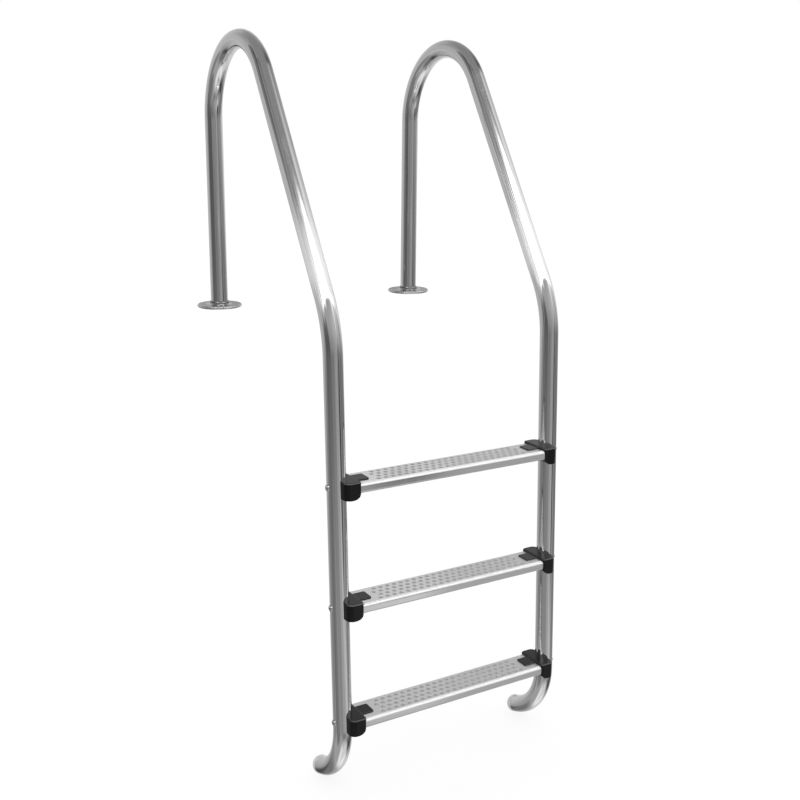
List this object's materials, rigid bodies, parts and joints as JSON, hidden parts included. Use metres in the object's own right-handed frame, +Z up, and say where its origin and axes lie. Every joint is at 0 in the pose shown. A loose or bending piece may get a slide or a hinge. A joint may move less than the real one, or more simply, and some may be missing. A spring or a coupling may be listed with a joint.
{
  "type": "pool ladder",
  "caption": "In-ground pool ladder: bent polished tube rails with hairpin grips, pressed non-slip treads in moulded end caps, anchor plates under sliding escutcheons.",
  "frame": {"origin": "deck level (underside of the anchor plates), midway between the axes of the two deck legs, which is the centre of the outer four deck bolts", "axes": "+X across the ladder, from the left rail to the right rail as seen from the pool; +Y from the pool towards the deck; +Z up"},
  "size_m": [0.6, 0.679, 1.496],
  "materials": {
    "polished_rail": "mirror-polished stainless tube",
    "pressed_tread": "satin stainless sheet with pressed studs",
    "black_cap": "moulded black polymer, fine texture",
    "fasteners": "stainless hardware",
    "anchor_plate": "machined stainless plate, welded",
    "escutcheon": "spun and polished stainless cover",
    "wall_bumper": "moulded light grey plug"
  },
  "bodies": {
    "ladder": {"left_rail": "polished_rail", "right_rail": "polished_rail", "upper_tread": "pressed_tread", "middle_tread": "pressed_tread", "lower_tread": "pressed_tread", "upper_left_tread_cap": "black_cap", "upper_right_tread_cap": "black_cap", "middle_left_tread_cap": "black_cap", "middle_right_tread_cap": "black_cap", "lower_left_tread_cap": "black_cap", "lower_right_tread_cap": "black_cap", "tread_bolts": "fasteners", "rail_saddle_washers": "fasteners", "tread_nut_washers": "fasteners", "tread_nuts": "fasteners", "left_anchor_plate": "anchor_plate", "left_wall_bumper": "wall_bumper", "right_anchor_plate": "anchor_plate", "right_wall_bumper": "wall_bumper"},
    "left_cover": {"left_escutcheon": "escutcheon"},
    "right_cover": {"right_escutcheon": "escutcheon"}
  },
  "joints": [
    {"name": "left_escutcheon_slide", "type": "slide", "parent": "ladder", "child": "left_cover", "axis": [0, 0, 1], "range_m": [0, 0.38]},
    {"name": "right_escutcheon_slide", "type": "slide", "parent": "ladder", "child": "right_cover", "axis": [0, 0, 1], "range_m": [0, 0.38]}
  ]
}
